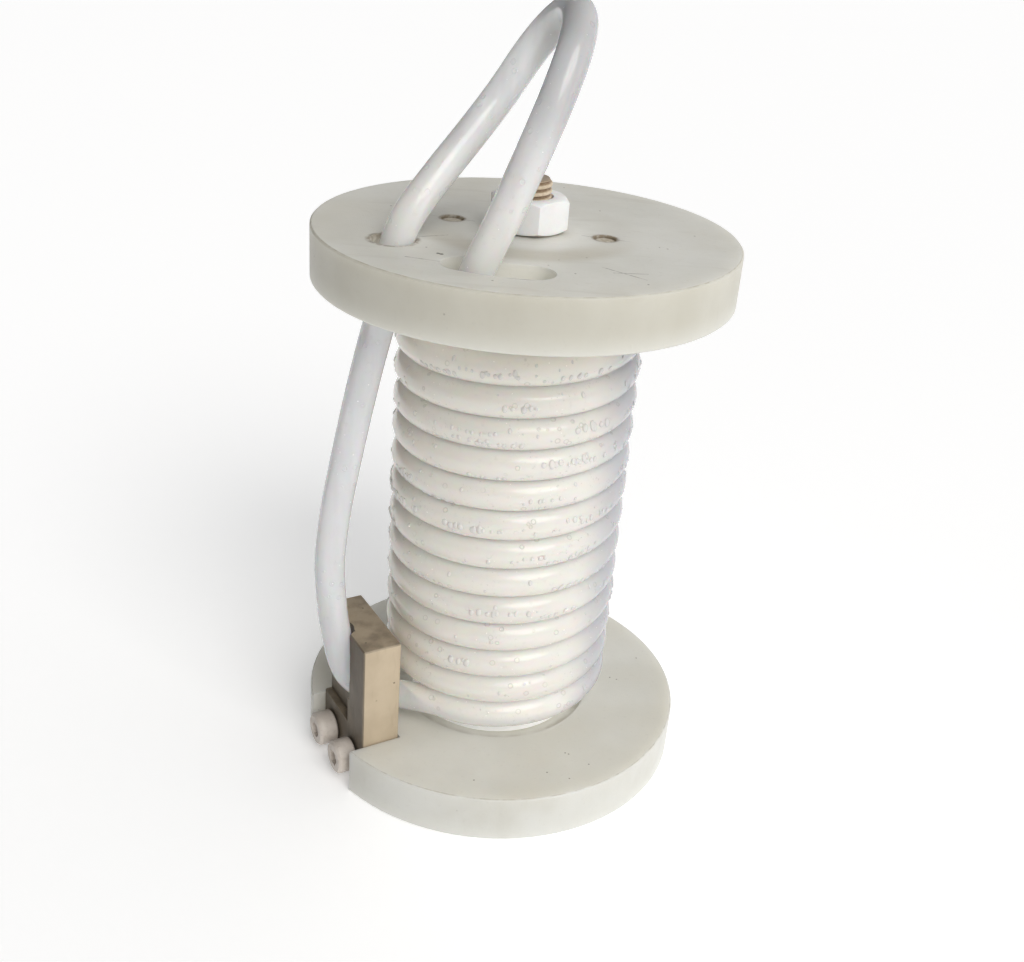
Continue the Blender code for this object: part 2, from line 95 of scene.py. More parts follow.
# Openings and the block, about the upright axis
HOLE_RADIUS = COIL_RADIUS + 0.0064
SLOT_RADIUS = COIL_RADIUS + 0.0065
SLOT_WIDTH = 0.008
SLOT_ANGLES = (-112.0, -87.0)
PIN_ANGLES = (-11.0, 168.0)
PIN_RADIUS = 0.0146
BLOCK_ANGLE = -148.5
BLOCK_INNER = COIL_RADIUS + TUBE_RADIUS + 0.0037
BLOCK_OUTER = BLOCK_INNER + 0.008
TOOL_MARKS = 0.0004
THREAD_PITCH = 0.00125
THREAD_DEPTH = 0.0006
THREAD_SIDES = 72
THREAD_ROWS = 12

# Water drops: how many, how flat, how far sunk, and the degrees of winding left bare at its end
DROP_ROWS = 90
LONE_DROPS = 420
DROP_FLATNESS = 0.46
DROP_SINK = 0.12
BARE_SWEEP = 20

# Colours that several finishes or marks use
MILKY_LIGHT = (0.755, 0.745, 0.690)
MILKY_DULL = (0.690, 0.680, 0.620)
MILKY_WARM = (0.66, 0.632, 0.545)
TOP_RIM_SHADE = (0.555, 0.535, 0.460)
BASE_RIM_SHADE = (0.655, 0.655, 0.620)
GRIME = (0.20, 0.15, 0.095)
PENCIL = (0.30, 0.28, 0.25)
BLACK = (0.0, 0.0, 0.0)

# Light and camera
LEFT_SKY = 0.02
RIGHT_SKY = 0.80
SKY_BLEND = 0.75
KEY_STRENGTH = 1.60
KEY_SPREAD = 40.0
KEY_FROM = Vector((0.42, -0.78, 0.82))
CAMERA_PLACE = Vector((0.0, -0.22195, 0.17118))
CAMERA_TARGET = Vector((0.0008655, 0.0, 0.05940))
CAMERA_ROLL = 4.635
CAMERA_LENS = 42.588


# Route of the tube

def upright(angle, radius, height):
    turn = math.radians(angle)
    return Vector((radius * math.cos(turn), radius * math.sin(turn), height))


def in_block(outward, sideways, height):
    """A point from the block's own axes: outward from the core, and towards its cheek."""
    turn = math.radians(BLOCK_ANGLE)
    across = Vector((-math.sin(turn), math.cos(turn), 0)) * sideways
    return upright(BLOCK_ANGLE, outward, height) + across


def smoothed(points, spacing):
    """Evenly spaced points on a smooth curve through the given ones, ends included."""
    padded = [points[0] * 2 - points[1], *points, points[-1] * 2 - points[-2]]
    fine = []
    for before, start, end, after in zip(padded, padded[1:], padded[2:], padded[3:]):
        for step in range(16):
            t = step / 16
            fine.append(0.5 * (2 * start + (end - before) * t
                               + (2 * before - 5 * start + 4 * end - after) * t ** 2
                               + (3 * start - before - 3 * end + after) * t ** 3))
    fine.append(points[-1])
    lengths = [0.0]
    for start, end in zip(fine, fine[1:]):
        lengths.append(lengths[-1] + (end - start).length)
    count = max(2, round(lengths[-1] / spacing))
    even = []
    index = 0
    for step in range(count + 1):
        wanted = lengths[-1] * step / count
        while index < len(fine) - 2 and lengths[index + 1] < wanted:
            index += 1
        share = (wanted - lengths[index]) / max(lengths[index + 1] - lengths[index], 1e-9)
        even.append(fine[index].lerp(fine[index + 1], share))
    return even


def lead_in():
    """From the block's straight stretch to the first turn."""
    low = LOW_FACE + TUBE_RADIUS
    return [
        in_block(BLOCK_INNER + 0.0001, 0.0013, low + 0.0025),
        in_block(BLOCK_INNER - 0.0025, 0.0027, low + 0.0023),
        in_block(BLOCK_INNER - 0.0048, 0.0049, low + 0.0025),
        in_block(BLOCK_INNER - 0.0071, 0.0076, low + 0.0029),
    ]


def coil_point(turned_by):
    angle = COIL_ANGLE + turned_by
    return upright(angle, COIL_RADIUS, LOW_FACE + COIL_LOW + COIL_PITCH * turned_by / 360)


def lead_out():
    """From the last turn outward and up through the top flange's slot."""
    return [
        upright(-140.0, COIL_RADIUS + 0.0008, HIGH_FACE - 0.0042),
        upright(-132.0, COIL_RADIUS + 0.0023, HIGH_FACE - 0.0039),
        upright(-125.0, COIL_RADIUS + 0.0040, HIGH_FACE - 0.0030),
        upright(-119.5, COIL_RADIUS + 0.0053, HIGH_FACE - 0.0012),
        upright(-115.0, COIL_RADIUS + 0.0060, HIGH_FACE + 0.0013),
        upright(-111.5, COIL_RADIUS + 0.0063, HIGH_FACE + 0.0043),
    ]


def arch():
    """From the slot, up over the flange and down to the round hole."""
    top = TOP_FACE
    slot = upright(-108.0, SLOT_RADIUS, top)
    hole = upright(BLOCK_ANGLE, HOLE_RADIUS, top)
    return [
        slot + Vector((-0.0001, 0.0002, -0.0028)),
        slot + Vector((0.0009, -0.0001, 0.0)),
        slot + Vector((0.0030, -0.0008, 0.0050)),
        slot + Vector((0.0050, -0.0012, 0.0099)),
        Vector((-0.0015, -0.0274, top + 0.0154)),
        Vector((0.0009, -0.0268, top + 0.0219)),
        Vector((0.0032, -0.0250, top + 0.0283)),
        Vector((0.0051, -0.0216, top + 0.0344)),
        Vector((0.0057, -0.0164, top + 0.0382)),
        Vector((0.0047, -0.0095, top + 0.0391)),
        Vector((0.0023, -0.0041, top + 0.0370)),
        Vector((-0.0015, -0.0010, top + 0.0319)),
        Vector((-0.0064, -0.0013, top + 0.0240)),
        Vector((-0.0110, -0.0046, top + 0.0176)),
        Vector((-0.0162, -0.0093, top + 0.0109)),
        hole + Vector((0.0030, 0.0015, 0.0050)),
    ]


def down_run():
    """From the round hole down beside the coil into the block."""
    hole = HOLE_RADIUS
    face = BLOCK_OUTER
    base = LOW_FACE
    span = FLANGE_GAP
    return [
        in_block(hole - 0.0008, 0.0002, TOP_FACE),
        in_block(hole + 0.0001, 0.0, (HIGH_FACE + TOP_FACE) / 2),
        in_block(hole + 0.0007, 0.0, HIGH_FACE),
        in_block(hole + 0.0017, 0.0, base + 0.963 * span),
        in_block(face - 0.0054, 0.0, base + 0.918 * span),
        in_block(face - 0.0037, 0.0, base + 0.846 * span),
        in_block(face - 0.0016, 0.0, base + 0.746 * span),
        in_block(face + 0.0004, 0.0, base + 0.641 * span),
        in_block(face + 0.0019, 0.0, base + 0.554 * span),
        in_block(face + 0.0028, 0.0, base + 0.479 * span),
        in_block(face + 0.0032, 0.0, base + 0.415 * span),
        in_block(face + 0.0029, 0.0, base + 0.348 * span),
        in_block(face + 0.0024, 0.0, base + 0.288 * span),
        in_block(face + 0.0017, 0.0, base + 0.0222),
        in_block(face + 0.0010, 0.0, base + 0.0178),
        in_block(face - 0.0001, 0.0, base + 0.0139),
    ]


def tube_route():
    """The whole tube from the joiner round the core, through the slot, the arch and the hole, and back."""
    upper = in_block(BLOCK_OUTER - 0.0015, 0.0001, LOW_FACE + 0.0109)
    lower = in_block(BLOCK_OUTER - 0.0051, 0.0005, LOW_FACE + 0.0063)
    coarse = COIL_SWEEP / round(COIL_SWEEP / 360 * COIL_STEPS)
    first = [coil_point(0), coil_point(coarse)]
    last = [coil_point(COIL_SWEEP - coarse), coil_point(COIL_SWEEP)]
    middle = (upper + lower) / 2
    half_gap = (lower - upper).normalized() * CLEARANCE / 2
    entry = smoothed([upper, lower, *lead_in(), *first], 0.0011)
    entry = [point for point in entry if (point - upper).length > (middle - upper).length * 1.2
             and (point - first[1]).length > (first[1] - first[0]).length * 1.04]
    count = round(COIL_SWEEP / 360 * FINE_STEPS)
    turns = [coil_point(COIL_SWEEP * step / count) for step in range(count + 1)]
    climb = smoothed([*last, *lead_out(), *arch(), *down_run(), upper, lower], 0.0011)
    climb = [point for point in climb if (point - last[0]).length > (last[1] - last[0]).length * 1.04
             and (point - lower).length > (middle - lower).length * 1.2]
    return [middle + half_gap, *entry, *turns, *climb, middle - half_gap]


# Mesh helpers

def piece_from(bm, name, sharp=40.0):
    """Adds a bmesh as a smooth-shaded piece of the object."""
    bmesh.ops.recalc_face_normals(bm, faces=bm.faces)
    mesh = bpy.data.meshes.new(name)
    bm.to_mesh(mesh)
    bm.free()
    mesh.shade_smooth()
    mesh.set_sharp_from_angle(angle=math.radians(sharp))
    piece = bpy.data.objects.new(name, mesh)
    bpy.context.scene.collection.objects.link(piece)
    return piece


def rings_joined(bm, rings):
    """Skins a run of vertex rings and closes both ends."""
    for before, after in zip(rings, rings[1:]):
        for index in range(len(before)):
            beside = (index + 1) % len(before)
            bm.faces.new((before[index], before[beside], after[beside], after[index]))
    bm.faces.new(list(reversed(rings[0])))
    bm.faces.new(rings[-1])


def smooth_cad(name, edge=0.0, split=36.0):
    """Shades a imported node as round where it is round, and softens its outer edges."""
    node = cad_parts[name]
    for extra in ("custom_normal", "sharp_edge", "sharp_face"):
        found = node.data.attributes.get(extra)
        if found:
            node.data.attributes.remove(found)
    node.data.shade_smooth()
    weld = node.modifiers.new("one_skin", "WELD")
    weld.merge_threshold = 0.00001
    if edge:
        soft = node.modifiers.new("soft_edges", "BEVEL")
        soft.width = edge
        soft.segments = 3
        soft.limit_method = "ANGLE"
        soft.angle_limit = math.radians(30)
    crisp = node.modifiers.new("crisp_edges", "EDGE_SPLIT")
    crisp.split_angle = math.radians(split)


# Finishes: arithmetic on a wire adds the nodes that work it out

class Wire:
    """A value from a node's socket, which can be used in sums."""

    def __init__(self, tree, socket):
        self.tree = tree
        self.socket = socket

    def maths(self, operation, *values):
        return self.tree.node("ShaderNodeMath", {"operation": operation}, dict(enumerate(values)))

    def __add__(self, other):
        return self.maths("ADD", self, other)

    def __sub__(self, other):
        return self.maths("SUBTRACT", self, other)

    def __rsub__(self, other):
        return self.maths("SUBTRACT", other, self)

    def __mul__(self, other):
        return self.maths("MULTIPLY", self, other)

    def __truediv__(self, other):
        return self.maths("DIVIDE", self, other)

    def __gt__(self, other):
        return self.maths("GREATER_THAN", self, other)

    def __lt__(self, other):
        return self.maths("LESS_THAN", self, other)

    __radd__ = __add__
    __rmul__ = __mul__

    def root(self):
        return self.maths("SQRT", self)

    def size(self):
        return self.maths("ABSOLUTE", self)

    def wave(self, length):
        """A ripple from -1 to 1 that repeats every so many metres."""
        return self.maths("SINE", self * (math.tau / length))

    def most(self, other):
        return self.maths("MAXIMUM", self, other)

    def least(self, other):
        return self.maths("MINIMUM", self, other)

    def rise(self, low, high):
        """0 at or before low, 1 at or after high, and smooth between."""
        settings = {"interpolation_type": "SMOOTHSTEP"}
        return self.tree.node("ShaderNodeMapRange", settings, {0: self, 1: low, 2: high})

    def fall(self, low, high):
        return 1 - self.rise(low, high)

    def near(self, value, reach):
        """1 at a value, and 0 from so far away from it."""
        return (self - value).size().fall(0.0, reach)


def strongest(masks):
    """The highest of several masks, wherever they overlap."""
    return functools.reduce(Wire.most, masks)


class Tree:
    """The nodes of a finish or of the sky, all made by one method."""

    def __init__(self, nodes_and_links):
        self.nodes_and_links = nodes_and_links

    def node(self, kind, settings=None, inputs=None, output=0):
        made = self.nodes_and_links.nodes.new(kind)
        for key, value in (settings or {}).items():
            setattr(made, key, value)
        for key, value in (inputs or {}).items():
            if isinstance(value, Wire):
                self.join(value, made.inputs[key])
            else:
                made.inputs[key].default_value = value
        return Wire(self, made.outputs[output])

    def join(self, wire, socket):
        self.nodes_and_links.links.new(wire.socket, socket)

    def parts(self, vector):
        """A vector's three values."""
        outputs = self.node("ShaderNodeSeparateXYZ", inputs={0: vector}).socket.node.outputs
        return [Wire(self, outputs[index]) for index in range(3)]


class Finish(Tree):
    """One procedural surface, with its Principled shader's plain settings."""

    def __init__(self, name, **settings):
        self.material = bpy.data.materials.new(name)
        self.material.use_nodes = True
        super().__init__(self.material.node_tree)
        self.shader = self.material.node_tree.nodes["Principled BSDF"]
        for key, value in settings.items():
            self.input(key).default_value = value
        self.place = self.node("ShaderNodeTexCoord", output="Object")
        self.x, self.y, self.z = self.parts(self.place)
        self.radius = (self.x * self.x + self.y * self.y).root()

    def input(self, key):
        """The shader's own socket, from its name in small letters."""
        return self.shader.inputs[key.replace("_", " ").title().replace("Ior", "IOR")]

    def stretched(self, x=1.0, y=1.0, z=1.0):
        """The place, with each axis scaled, for grain that runs one way."""
        return self.node("ShaderNodeVectorMath", {"operation": "MULTIPLY"},
                         {0: self.place, 1: (x, y, z)})

    def noise(self, size, detail=2.0, place=None, rough=0.5):
        """Cloudy variation from 0 to 1 with features of about a size in metres."""
        return self.node("ShaderNodeTexNoise", inputs={
            "Vector": place or self.place, "Scale": 1 / size, "Detail": detail, "Roughness": rough})

    def cells(self, size, place=None):
        """Distance from the nearest of scattered points about a size apart, in cell widths."""
        return self.node("ShaderNodeTexVoronoi", inputs={
            "Vector": place or self.place, "Scale": 1 / size})

    def mix(self, share, first, second):
        """A colour between two colours."""
        def colour(value):
            return value if isinstance(value, Wire) else (*value, 1.0)
        return self.node("ShaderNodeMix", {"data_type": "RGBA"},
                         {0: share, 6: colour(first), 7: colour(second)}, 2)

    def stroke(self, start, end, width):
        """1 on a straight line drawn on a level face, between two points in millimetres."""
        ax, ay = (value * MM for value in start)
        dx, dy = (end[0] - start[0]) * MM, (end[1] - start[1]) * MM
        square = dx * dx + dy * dy
        px, py = self.x - ax, self.y - ay
        share = ((px * dx + py * dy) / square).most(0.0).least(1.0)
        qx, qy = px - share * dx, py - share * dy
        return (qx * qx + qy * qy).root().fall(width * 0.4 * MM, width * MM)

    def spot(self, centre, reach, soft=0.4):
        """1 on a round mark on a level face, in millimetres."""
        px, py = self.x - centre[0] * MM, self.y - centre[1] * MM
        return (px * px + py * py).root().fall(reach * (1 - soft) * MM, reach * MM)

    def from_axis(self, centre):
        """Distance from an upright line."""
        px, py = self.x - centre.x, self.y - centre.y
        return (px * px + py * py).root()

    def height(self, value, depth, soft=1.0):
        """Feeds a height in metres to the surface's normal."""
        bump = self.node("ShaderNodeBump", inputs={"Height": value, "Distance": depth, "Strength": soft})
        self.join(bump, self.input("normal"))

    def feed(self, **values):
        for key, value in values.items():
            self.join(value, self.input(key))

    def put_on(self, *pieces):
        for piece in pieces:
            if piece.material_slots:
                piece.material_slots[0].material = self.material
            else:
                piece.data.materials.append(self.material)


def milky_plastic(name, low_face, high_face, marks, glow_walls, rim_shade):
    """Milky natural plastic: cloudy, faintly machined, with painted shade on its rim and a painted glow
    inside its openings.
    """
    made = Finish(name, roughness=0.40, subsurface_weight=0.55, subsurface_scale=0.005, ior=1.49,
                  subsurface_radius=(1.0, 0.96, 0.86), emission_strength=0.15)
    cloud = made.noise(0.015, 4.0)
    fine = made.noise(0.0009, 4.0)
    warm = made.noise(0.026, 2.0)
    down = made.noise(0.0110, 3.0, made.stretched(z=0.80))
    colour = made.mix(cloud.rise(0.30, 0.70), MILKY_LIGHT, MILKY_DULL)
    colour = made.mix(warm.rise(0.45, 0.75) * 0.55, colour, MILKY_WARM)
    # painted shade: the rim is darkened towards the rim shade colour
    side = made.radius.rise(FLANGE_RADIUS - 0.0006, FLANGE_RADIUS - 0.0002)
    colour = made.mix(side * 0.80, colour, rim_shade)
    colour = made.mix(side * down.rise(0.40, 0.75) * 0.30, colour, (0.48, 0.455, 0.375))
    # the rim lighter towards its lower edge
    colour = made.mix(side * made.z.fall(low_face, low_face + 0.0045) * 0.5, colour, (0.70, 0.70, 0.66))
    colour = made.mix(fine.rise(0.58, 0.80) * 0.16, colour, (0.46, 0.44, 0.38))
    edge = made.radius.near(FLANGE_RADIUS - 0.00030, 0.00016) * made.z.near(high_face, 0.0004)
    broken = made.noise(0.0022, 4.0).rise(0.40, 0.66)
    colour = made.mix(edge * (broken * 0.55 + 0.10), colour, (0.34, 0.29, 0.22))
    pits = made.cells(0.0046).fall(0.030, 0.050) * made.noise(0.008).rise(0.50, 0.62)
    colour = made.mix(pits * 0.75, colour, (0.15, 0.12, 0.09))
    for mask, tint in marks(made):
        colour = made.mix(mask, colour, tint)
    # painted glow: emission on the walls of the openings, standing in for light passing through the milky
    # plastic
    painted_glow = made.z.fall(high_face - 0.0010, high_face - 0.0002) * strongest(glow_walls(made))
    made.feed(base_color=colour, roughness=0.37 + fine * 0.12 + cloud * 0.08,
              emission_color=made.mix(painted_glow, BLACK, (0.95, 0.93, 0.84)))
    swirl = made.radius.wave(TOOL_MARKS)
    made.height(fine * 0.7 + swirl * 0.05 + made.noise(0.005) * 1.2 - pits, 0.00006)
    return made


def top_glow_walls(made):
    """Where the flange's painted glow goes: the walls of the tube's hole and of its curved slot."""
    yield made.from_axis(upright(BLOCK_ANGLE, HOLE_RADIUS, 0)).fall(0.0043, 0.0046) * 0.6
    band = made.radius.near(SLOT_RADIUS, SLOT_WIDTH * 0.62).rise(0.02, 0.10)
    middle = math.radians(sum(SLOT_ANGLES) / 2)
    ahead = made.x * math.cos(middle) + made.y * math.sin(middle)
    reach = math.radians(SLOT_ANGLES[1] - SLOT_ANGLES[0]) / 2 * SLOT_RADIUS + SLOT_WIDTH * 0.56
    across = made.x * -math.sin(middle) + made.y * math.cos(middle)
    yield band * (across.size() < reach) * (ahead > 0.0) * 0.25


def base_glow_walls(made):
    """Where the flange's painted glow goes: the turned seat round the core."""
    yield made.radius.fall(CORE_RADIUS + 0.0034, CORE_RADIUS + 0.0036) * 0.25


def top_marks(made):
    """Pencil lines, grimy hole rims, a dark fleck, painted shade of the core's wall seen through the top
    flange, and painted shade round the nut and along the slot's edge.
    """
    upper = made.z > TOP_FACE - 0.0012
    worn = made.noise(0.0016, 3.0).rise(0.40, 0.60)
    lines = [((-20.1, -24.1), (-14.3, -25.3), 0.20), ((-19.0, -11.3), (-14.2, -8.8), 0.20),
             ((13.2, -21.2), (20.4, -26.6), 0.17), ((15.0, -24.0), (20.8, -23.2), 0.17)]
    for angle in PIN_ANGLES:
        near, far = upright(angle, 10.2, 0), upright(angle, 19.4, 0)
        lines.append(((near.x, near.y), (far.x, far.y), 0.13))
    drawn = strongest(made.stroke(*line) for line in lines)
    yield drawn * upper * (worn * 0.60 + 0.35), PENCIL
    for centre, reach in (((-14.9, -20.7), 0.40), ((-14.3, -21.0), 0.46)):
        yield made.spot(centre, reach) * upper * 0.9, (0.03, 0.025, 0.02)
    flecks = ((-17.2, -17.6), (-9.3, -18.2), (10.6, -16.2), (20.5, -29.0), (25.5, -6.5),
              (-26.5, 8.5), (6.5, 26.0), (14.0, 17.5), (-5.0, -33.5), (31.5, 4.0))
    flecks = strongest(made.spot(centre, 0.24) for centre in flecks)
    yield flecks * upper * 0.7, (0.14, 0.11, 0.08)
    # painted shade of the core's wall and recess seen through the flange, stronger at the front
    ring = made.radius.rise(0.0120, 0.0160) * made.radius.fall(0.0185, 0.0225)
    yield ring * (made.y.fall(-0.016, -0.002) * 0.8 + 0.2) * 0.50, (0.49, 0.44, 0.335)
    shade = made.radius.fall(0.0070, 0.0100)
    yield shade * upper * 0.30, (0.46, 0.43, 0.36)
    scuff = made.noise(0.0050, 4.0, made.stretched(x=0.35, y=1.6)).rise(0.56, 0.74)
    yield scuff * upper * 0.22, (0.52, 0.49, 0.42)
    # painted shade: a dark line along the slot's outer edge, broken by the wear noise
    slot_edge_shade = made.radius.near(SLOT_RADIUS + SLOT_WIDTH / 2 + 0.0001, 0.0003)
    slot_edge_shade = slot_edge_shade * (made.y < -0.024) * made.x.rise(-0.0040, 0.0) * made.x.fall(0.0005, 0.0040)
    yield slot_edge_shade * upper * (worn * 0.6 + 0.3), (0.36, 0.33, 0.28)
    hole = upright(BLOCK_ANGLE, HOLE_RADIUS, 0)
    away = made.from_axis(hole)
    rim = away.near(0.0043, 0.0009) * (made.noise(0.0012, 3.0).rise(0.38, 0.62) * 0.8 + 0.2)
    yield rim * made.z.rise(TOP_FACE - 0.004, TOP_FACE - 0.0002) * 0.75, GRIME
    inside = away.fall(0.0040, 0.0046) * made.noise(0.0022, 3.0).rise(0.40, 0.70)
    yield inside * 0.45, (0.36, 0.28, 0.19)
    for angle in PIN_ANGLES:
        away = made.from_axis(upright(angle, PIN_RADIUS, 0))
        rim = away.near(0.0023, 0.0006) * (made.noise(0.0010, 3.0).rise(0.35, 0.60) * 0.5 + 0.5)
        yield rim * 0.90, GRIME
        halo = away.fall(0.0022, 0.0040)
        yield halo * upper * 0.20, (0.42, 0.36, 0.27)


def base_marks(made):
    """Painted shade where the core meets the bottom flange, and a few flecks on its face."""
    upper = made.z > LOW_FACE - 0.0020
    # painted shade in the ring round the core's foot, broken by noise
    seat = made.radius.near(CORE_RADIUS + 0.0020, 0.0016) * made.noise(0.004, 3.0).rise(0.30, 0.65)
    yield seat * upper * 0.55, (0.34, 0.30, 0.23)
    flecks = ((12.5, -30.5), (17.0, -31.8), (21.0, -27.0), (-2.0, -34.5), (28.0, 3.0),
              (-4.0, 31.0), (-18.0, 27.0), (33.0, 12.0), (16.2, -24.0), (16.9, -24.3))
    flecks = strongest(made.spot(centre, 0.22) for centre in flecks)
    yield flecks * upper * 0.7, (0.16, 0.13, 0.09)


def clear_silicone():
    """Cloudy clear silicone: warm over the core, with painted shade making it cooler and darker at its
    sides, and a painted glow.
    """
    made = Finish("clear_silicone", roughness=0.20, ior=1.41, transmission_weight=0.38,
                  subsurface_weight=0.45, subsurface_scale=0.0025, coat_weight=0.30,
                  coat_roughness=0.06, emission_strength=0.16)
    wound = made.radius.fall(COIL_RADIUS + 0.0032, COIL_RADIUS + 0.0038)
    wound = wound * made.z.fall(HIGH_FACE - 0.0009, HIGH_FACE)
    facing = made.radius.rise(COIL_RADIUS - 0.0004, COIL_RADIUS + 0.0026)
    cloud = made.noise(0.010, 3.0)
    streak = made.noise(0.0034, 4.0, made.stretched(z=0.14))
    thin = made.noise(0.0012, 3.0, made.stretched(z=0.08))
    haze = made.noise(0.0014, 4.0)
    bare = made.mix(streak.rise(0.30, 0.75), (0.86, 0.865, 0.875), (0.76, 0.77, 0.785))
    bare = made.mix(thin.rise(0.55, 0.75) * 0.20, bare, (0.93, 0.93, 0.935))
    # painted light and shade across each turn: its outer face warm and bright, its top and bottom cooler
    over_core = made.mix(facing, (0.84, 0.845, 0.87), (0.985, 0.955, 0.895))
    over_core = made.mix(cloud.rise(0.48, 0.75) * 0.5, over_core, (0.86, 0.84, 0.81))
    # painted shade: the outer face of the lowest turn bluer and darker
    low_turn_shade = made.z.fall(LOW_FACE + 0.0060, LOW_FACE + 0.0085) * made.radius.rise(0.0225, 0.0245)
    over_core = made.mix(low_turn_shade * 0.8, over_core, (0.70, 0.715, 0.77))
    # painted shade: the coil darker and bluer on its right side, greyer on its left; the right also dims
    # the glow
    right_side_shade = made.x.rise(0.0135, 0.0225)
    over_core = made.mix(right_side_shade * 0.80, over_core, (0.57, 0.580, 0.625))
    left_side_shade = made.x.fall(-0.0235, -0.0150)
    over_core = made.mix(left_side_shade * 0.55, over_core, (0.66, 0.66, 0.68))
    # painted light: the free tube lighter and warmer where it runs near the top flange's face
    by_face = made.z.rise(TOP_FACE - 0.006, TOP_FACE) * made.z.fall(TOP_FACE + 0.003, TOP_FACE + 0.028)
    bare = made.mix(by_face * 0.8, bare, (0.93, 0.925, 0.90))
    # painted shade: the arch's right leg darker high up
    high_up = made.z.rise(TOP_FACE + 0.016, TOP_FACE + 0.028)
    right_leg = made.x.rise(-0.0030, 0.0020)
    bare = made.mix(high_up * right_leg * 0.7, bare, (0.62, 0.625, 0.63))
    left_leg = high_up * (1 - right_leg)
    colour = made.mix(wound, bare, over_core)
    colour = made.mix(haze.rise(0.58, 0.80) * 0.22, colour, (0.62, 0.61, 0.60))
    dust = made.cells(0.0015).fall(0.06, 0.12) * made.noise(0.006, 2.0).rise(0.50, 0.60)
    colour = made.mix(dust * 0.65, colour, (0.20, 0.18, 0.16))
    grit = made.noise(0.0007, 4.0, rough=0.7).rise(0.60, 0.72) * made.noise(0.011, 2.0).rise(0.50, 0.60)
    colour = made.mix(grit * (wound * 0.40 + 0.15), colour, (0.34, 0.33, 0.31))
    ring = made.cells(0.0024)
    bubble = ring.near(0.20, 0.06) * made.noise(0.009, 2.0).rise(0.48, 0.58)
    colour = made.mix(bubble * wound * 0.35, colour, (0.45, 0.44, 0.42))
    # painted glow: emission strongest on the wound turns' outer faces and under the top flange, dim on the
    # right, and on the free tube by the flange face and on the arch's left leg
    under_face = made.z.rise(HIGH_FACE - 0.0115, HIGH_FACE - 0.0040)
    bare_glow = made.mix(by_face, (0.045, 0.045, 0.05), (0.34, 0.33, 0.31))
    bare_glow = made.mix(left_leg, bare_glow, (0.50, 0.50, 0.47))
    wound_glow = made.mix(under_face, (0.50, 0.46, 0.36), (1.0, 0.90, 0.66))
    wound_glow = made.mix(right_side_shade, wound_glow, (0.08, 0.08, 0.10))
    glow = made.mix(wound * (0.35 + facing * 0.65), bare_glow, wound_glow)
    made.feed(base_color=colour, roughness=0.15 + haze * 0.10 + dust * 0.3, emission_color=glow)
    made.height(cloud * 1.0 + haze * 0.2 + dust * 0.4 + bubble * 0.8, 0.00009)
    return made


def water():
    """Clear drops that sit on the tube."""
    made = Finish("water", roughness=0.05, ior=1.36, transmission_weight=0.35)
    colour = made.mix(made.noise(0.004), (0.95, 0.94, 0.92), (0.86, 0.86, 0.85))
    # painted shade: the drops darker and bluer on the coil's right side
    colour = made.mix(made.x.rise(0.0135, 0.0225) * 0.7, colour, (0.66, 0.67, 0.70))
    made.feed(base_color=colour, roughness=made.noise(0.003) * 0.06)
    return made


def tan_plastic():
    """Tan machined plastic: sawn grain, painted shade with smeared dirt on its top, painted shade on its
    outer side.
    """
    made = Finish("tan_plastic", roughness=0.5)
    normal = made.node("ShaderNodeNewGeometry", output="Normal")
    nx, ny, nz = made.parts(normal)
    turn = math.radians(BLOCK_ANGLE)
    outward = (nx * math.cos(turn) + ny * math.sin(turn)).rise(0.3, 0.9)
    top_shade = nz.rise(0.3, 0.9)
    grain = made.noise(0.0012, 4.0, made.stretched(z=0.25))
    cloud = made.noise(0.006, 4.0)
    colour = made.mix(cloud.rise(0.3, 0.7), (0.535, 0.440, 0.315), (0.475, 0.385, 0.27))
    colour = made.mix(grain.rise(0.55, 0.80) * 0.35, colour, (0.37, 0.29, 0.20))
    smear = made.noise(0.0045, 4.0).rise(0.40, 0.66)
    # painted shade on the upward faces, with smeared dirt
    colour = made.mix(top_shade * (0.50 + smear * 0.45), colour, (0.19, 0.15, 0.105))
    # painted shade on the outer side
    colour = made.mix(outward * (0.72 + cloud * 0.28), colour, (0.072, 0.056, 0.038))
    dots = made.cells(0.0030).fall(0.05, 0.10) * made.noise(0.005).rise(0.45, 0.60)
    colour = made.mix(dots * 0.75, colour, (0.10, 0.075, 0.05))
    made.feed(base_color=colour, roughness=0.42 + grain * 0.16)
    made.height(grain * 0.8 + cloud * 0.5 - dots * 1.0, 0.00007)
    return made


def stud_plastic():
    """The stud's cream-tan plastic, dark brown in the thread's grooves."""
    made = Finish("stud_plastic", roughness=0.5)
    groove = made.radius.fall(STUD_RADIUS - THREAD_DEPTH * 0.9, STUD_RADIUS - THREAD_DEPTH * 0.15)
    fine = made.noise(0.0007, 4.0)
    colour = made.mix(fine.rise(0.35, 0.70), (0.70, 0.59, 0.44), (0.58, 0.47, 0.33))
    colour = made.mix(groove * (0.45 + fine * 0.7), colour, (0.22, 0.135, 0.07))
    end = made.z.rise(STUD_HIGH.z - 0.00025, STUD_HIGH.z - 0.00005)
    colour = made.mix(end * 0.75, colour, (0.33, 0.27, 0.20))
    made.feed(base_color=colour, roughness=0.44 + fine * 0.15)
    made.height(fine, 0.00008)
    return made


def pin_plastic():
    """The pins' pale ends, dirty round the rim."""
    made = Finish("pin_plastic", roughness=0.5)
    fine = made.noise(0.0010, 4.0)
    colour = made.mix(fine.rise(0.35, 0.65), (0.60, 0.56, 0.47), (0.44, 0.375, 0.28))
    rim = strongest(made.from_axis(upright(angle, PIN_RADIUS, 0)).near(0.0020, 0.0007)
                    for angle in PIN_ANGLES)
    colour = made.mix(rim * 0.7, colour, GRIME)
    made.feed(base_color=colour, roughness=0.45 + fine * 0.15)
    made.height(fine, 0.0001)
    return made


